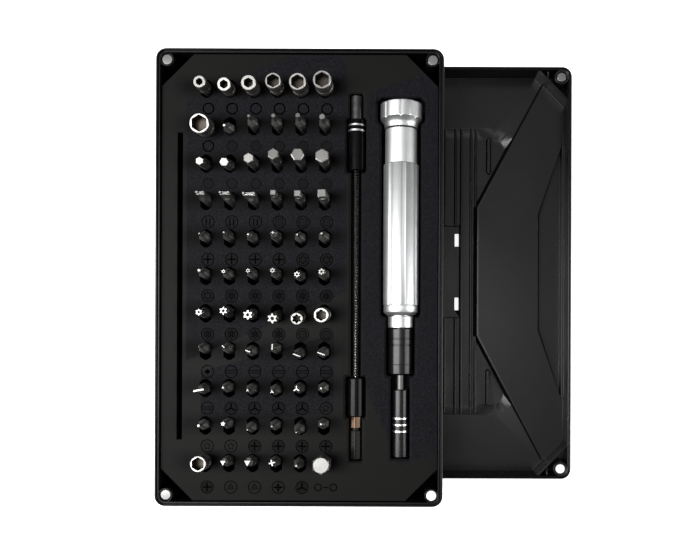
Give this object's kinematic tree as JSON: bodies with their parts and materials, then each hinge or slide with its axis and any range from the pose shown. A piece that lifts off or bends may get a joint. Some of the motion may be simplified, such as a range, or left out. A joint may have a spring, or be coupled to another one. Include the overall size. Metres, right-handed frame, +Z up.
{
  "type": "precision screwdriver set",
  "caption": "Precision screwdriver set: a bit tray with an aluminium driver and a flexible shaft, resting across its upturned black lid.",
  "frame": {"origin": "middle of the footprint of lid and tray together, on the surface that the lid lies on", "axes": "+X from the tray towards the uncovered half of the lid, +Y along the case towards the cap end of the driver, +Z up out of the tray"},
  "size_m": [0.1756, 0.1904, 0.0533],
  "materials": {
    "case_plastic": "fine satin texture on black ABS",
    "deck_plastic": "charcoal black moulded deck, partly grained",
    "aluminium": "bead-blasted and clear anodised, bright on the turned edges",
    "black_metal": "black anodised, satin",
    "bit_steel": "dark gunmetal shanks with bright ground tips",
    "steel": "ground steel",
    "nickel": "bright nickel plate"
  },
  "bodies": {
    "lid": {"lid_shell": "case_plastic", "lid_magnet_1": "nickel", "lid_magnet_2": "nickel", "lid_magnet_3": "nickel", "lid_magnet_4": "nickel"},
    "tray": {"tray_shell": "case_plastic", "bit_insert": "deck_plastic", "tool_insert": "deck_plastic", "tray_magnet_1": "nickel", "tray_magnet_2": "nickel", "tray_magnet_3": "nickel", "tray_magnet_4": "nickel"},
    "driver": {"driver_handle": "aluminium", "driver_nose": "aluminium", "driver_chuck": "black_metal", "chuck_magnet": "nickel", "cap_axle": "steel", "cap_bearing": "steel", "extension_shank": "bit_steel", "extension_sleeve": "black_metal", "extension_magnet": "nickel"},
    "spin_cap": {"driver_cap": "aluminium"},
    "flexible_shaft": {"shaft_sheath": "black_metal", "shaft_ferrule": "black_metal"},
    "shaft_rotor": {"shaft_socket": "black_metal", "shaft_core": "steel", "shaft_drive": "steel"},
    "bit_nut_socket_1": {"bit_nut_socket_1": "bit_steel"},
    "bit_nut_socket_2": {"bit_nut_socket_2": "bit_steel"},
    "bit_nut_socket_3": {"bit_nut_socket_3": "bit_steel"},
    "bit_nut_socket_4": {"bit_nut_socket_4": "bit_steel"},
    "bit_nut_socket_5": {"bit_nut_socket_5": "bit_steel"},
    "bit_nut_socket_6": {"bit_nut_socket_6": "bit_steel"},
    "bit_small_key_1": {"bit_small_key_1": "bit_steel"},
    "bit_small_key_2": {"bit_small_key_2": "bit_steel"},
    "bit_small_key_3": {"bit_small_key_3": "bit_steel"},
    "bit_small_key_4": {"bit_small_key_4": "bit_steel"},
    "bit_small_key_5": {"bit_small_key_5": "bit_steel"},
    "bit_small_key_6": {"bit_small_key_6": "bit_steel"},
    "bit_large_key_1": {"bit_large_key_1": "bit_steel"},
    "bit_large_key_2": {"bit_large_key_2": "bit_steel"},
    "bit_large_key_3": {"bit_large_key_3": "bit_steel"},
    "bit_large_key_4": {"bit_large_key_4": "bit_steel"},
    "bit_large_key_5": {"bit_large_key_5": "bit_steel"},
    "bit_large_key_6": {"bit_large_key_6": "bit_steel"},
    "bit_fork_square_1": {"bit_fork_square_1": "bit_steel"},
    "bit_fork_square_2": {"bit_fork_square_2": "bit_steel"},
    "bit_fork_square_3": {"bit_fork_square_3": "bit_steel"},
    "bit_fork_square_4": {"bit_fork_square_4": "bit_steel"},
    "bit_fork_square_5": {"bit_fork_square_5": "bit_steel"},
    "bit_fork_square_6": {"bit_fork_square_6": "bit_steel"},
    "bit_star_socket_1": {"bit_star_socket_1": "bit_steel"},
    "bit_star_socket_2": {"bit_star_socket_2": "bit_steel"},
    "bit_wide_blade_1": {"bit_wide_blade_1": "bit_steel"},
    "bit_last_row_1": {"bit_last_row_1": "bit_steel"},
    "bit_last_row_2": {"bit_last_row_2": "bit_steel"},
    "bit_last_row_3": {"bit_last_row_3": "bit_steel"},
    "bit_last_row_4": {"bit_last_row_4": "bit_steel"},
    "bit_last_row_5": {"bit_last_row_5": "bit_steel"},
    "bit_last_row_6": {"bit_last_row_6": "bit_steel"}
  },
  "joints": [
    {"name": "tray_lift", "type": "slide", "parent": "lid", "child": "tray", "axis": [0, 0, 1], "range_m": [0, 0.06]},
    {"name": "driver_lift", "type": "slide", "parent": "tray", "child": "driver", "axis": [0, 0, 1], "range_m": [0, 0.045]},
    {"name": "cap_spin", "type": "hinge", "parent": "driver", "child": "spin_cap", "pos_m": [0.0118, 0.0648, 0.0416], "axis": [0, 1, 0], "continuous": true},
    {"name": "shaft_lift", "type": "slide", "parent": "tray", "child": "flexible_shaft", "axis": [0, 0, 1], "range_m": [0, 0.035]},
    {"name": "shaft_spin", "type": "hinge", "parent": "flexible_shaft", "child": "shaft_rotor", "pos_m": [-0.0064, -0.0022, 0.0423], "axis": [0, 1, 0], "continuous": true},
    {"name": "bit_nut_socket_1_pull", "type": "slide", "parent": "tray", "child": "bit_nut_socket_1", "axis": [0, -0.0175, 0.9998], "range_m": [0, 0.03]},
    {"name": "bit_nut_socket_2_pull", "type": "slide", "parent": "tray", "child": "bit_nut_socket_2", "axis": [0, -0.0698, 0.9976], "range_m": [0, 0.03]},
    {"name": "bit_nut_socket_3_pull", "type": "slide", "parent": "tray", "child": "bit_nut_socket_3", "axis": [0, -0.0349, 0.9994], "range_m": [0, 0.03]},
    {"name": "bit_nut_socket_4_pull", "type": "slide", "parent": "tray", "child": "bit_nut_socket_4", "axis": [0, 0.0087, 1], "range_m": [0, 0.03]},
    {"name": "bit_nut_socket_5_pull", "type": "slide", "parent": "tray", "child": "bit_nut_socket_5", "axis": [0, -0.0087, 1], "range_m": [0, 0.03]},
    {"name": "bit_nut_socket_6_pull", "type": "slide", "parent": "tray", "child": "bit_nut_socket_6", "axis": [0, 0.0349, 0.9994], "range_m": [0, 0.03]},
    {"name": "bit_small_key_1_pull", "type": "slide", "parent": "tray", "child": "bit_small_key_1", "axis": [0, -0.0785, 0.9969], "range_m": [0, 0.03]},
    {"name": "bit_small_key_2_pull", "type": "slide", "parent": "tray", "child": "bit_small_key_2", "axis": [0, -0.1132, 0.9936], "range_m": [0, 0.03]},
    {"name": "bit_small_key_3_pull", "type": "slide", "parent": "tray", "child": "bit_small_key_3", "axis": [0, 0.0958, 0.9954], "range_m": [0, 0.03]},
    {"name": "bit_small_key_4_pull", "type": "slide", "parent": "tray", "child": "bit_small_key_4", "axis": [0, 0.1045, 0.9945], "range_m": [0, 0.03]},
    {"name": "bit_small_key_5_pull", "type": "slide", "parent": "tray", "child": "bit_small_key_5", "axis": [0, 0.1132, 0.9936], "range_m": [0, 0.03]},
    {"name": "bit_small_key_6_pull", "type": "slide", "parent": "tray", "child": "bit_small_key_6", "axis": [0, 0.0872, 0.9962], "range_m": [0, 0.03]},
    {"name": "bit_large_key_1_pull", "type": "slide", "parent": "tray", "child": "bit_large_key_1", "axis": [0, -0.0523, 0.9986], "range_m": [0, 0.03]},
    {"name": "bit_large_key_2_pull", "type": "slide", "parent": "tray", "child": "bit_large_key_2", "axis": [0, -0.0698, 0.9976], "range_m": [0, 0.03]},
    {"name": "bit_large_key_3_pull", "type": "slide", "parent": "tray", "child": "bit_large_key_3", "axis": [0, 0.0175, 0.9998], "range_m": [0, 0.03]},
    {"name": "bit_large_key_4_pull", "type": "slide", "parent": "tray", "child": "bit_large_key_4", "axis": [0, 0.1132, 0.9936], "range_m": [0, 0.03]},
    {"name": "bit_large_key_5_pull", "type": "slide", "parent": "tray", "child": "bit_large_key_5", "axis": [0, 0.1045, 0.9945], "range_m": [0, 0.03]},
    {"name": "bit_large_key_6_pull", "type": "slide", "parent": "tray", "child": "bit_large_key_6", "axis": [0, 0.0785, 0.9969], "range_m": [0, 0.03]},
    {"name": "bit_fork_square_1_pull", "type": "slide", "parent": "tray", "child": "bit_fork_square_1", "axis": [0, 0.1132, 0.9936], "range_m": [0, 0.03]},
    {"name": "bit_fork_square_2_pull", "type": "slide", "parent": "tray", "child": "bit_fork_square_2", "axis": [0, 0.1132, 0.9936], "range_m": [0, 0.03]},
    {"name": "bit_fork_square_3_pull", "type": "slide", "parent": "tray", "child": "bit_fork_square_3", "axis": [0, 0.0958, 0.9954], "range_m": [0, 0.03]},
    {"name": "bit_fork_square_4_pull", "type": "slide", "parent": "tray", "child": "bit_fork_square_4", "axis": [0, 0.1132, 0.9936], "range_m": [0, 0.03]},
    {"name": "bit_fork_square_5_pull", "type": "slide", "parent": "tray", "child": "bit_fork_square_5", "axis": [0, 0.0958, 0.9954], "range_m": [0, 0.03]},
    {"name": "bit_fork_square_6_pull", "type": "slide", "parent": "tray", "child": "bit_fork_square_6", "axis": [0, 0.1045, 0.9945], "range_m": [0, 0.03]},
    {"name": "bit_star_socket_1_pull", "type": "slide", "parent": "tray", "child": "bit_star_socket_1", "axis": [0, -0.1132, 0.9936], "range_m": [0, 0.03]},
    {"name": "bit_star_socket_2_pull", "type": "slide", "parent": "tray", "child": "bit_star_socket_2", "axis": [0, -0.0349, 0.9994], "range_m": [0, 0.03]},
    {"name": "bit_wide_blade_1_pull", "type": "slide", "parent": "tray", "child": "bit_wide_blade_1", "axis": [0, 0, 1], "range_m": [0, 0.03]},
    {"name": "bit_last_row_1_pull", "type": "slide", "parent": "tray", "child": "bit_last_row_1", "axis": [0, 0.0785, 0.9969], "range_m": [0, 0.03]},
    {"name": "bit_last_row_2_pull", "type": "slide", "parent": "tray", "child": "bit_last_row_2", "axis": [0, 0.1132, 0.9936], "range_m": [0, 0.03]},
    {"name": "bit_last_row_3_pull", "type": "slide", "parent": "tray", "child": "bit_last_row_3", "axis": [0, 0.1132, 0.9936], "range_m": [0, 0.03]},
    {"name": "bit_last_row_4_pull", "type": "slide", "parent": "tray", "child": "bit_last_row_4", "axis": [0, 0.1045, 0.9945], "range_m": [0, 0.03]},
    {"name": "bit_last_row_5_pull", "type": "slide", "parent": "tray", "child": "bit_last_row_5", "axis": [0, 0.0436, 0.999], "range_m": [0, 0.03]},
    {"name": "bit_last_row_6_pull", "type": "slide", "parent": "tray", "child": "bit_last_row_6", "axis": [0, 0.0523, 0.9986], "range_m": [0, 0.03]}
  ]
}
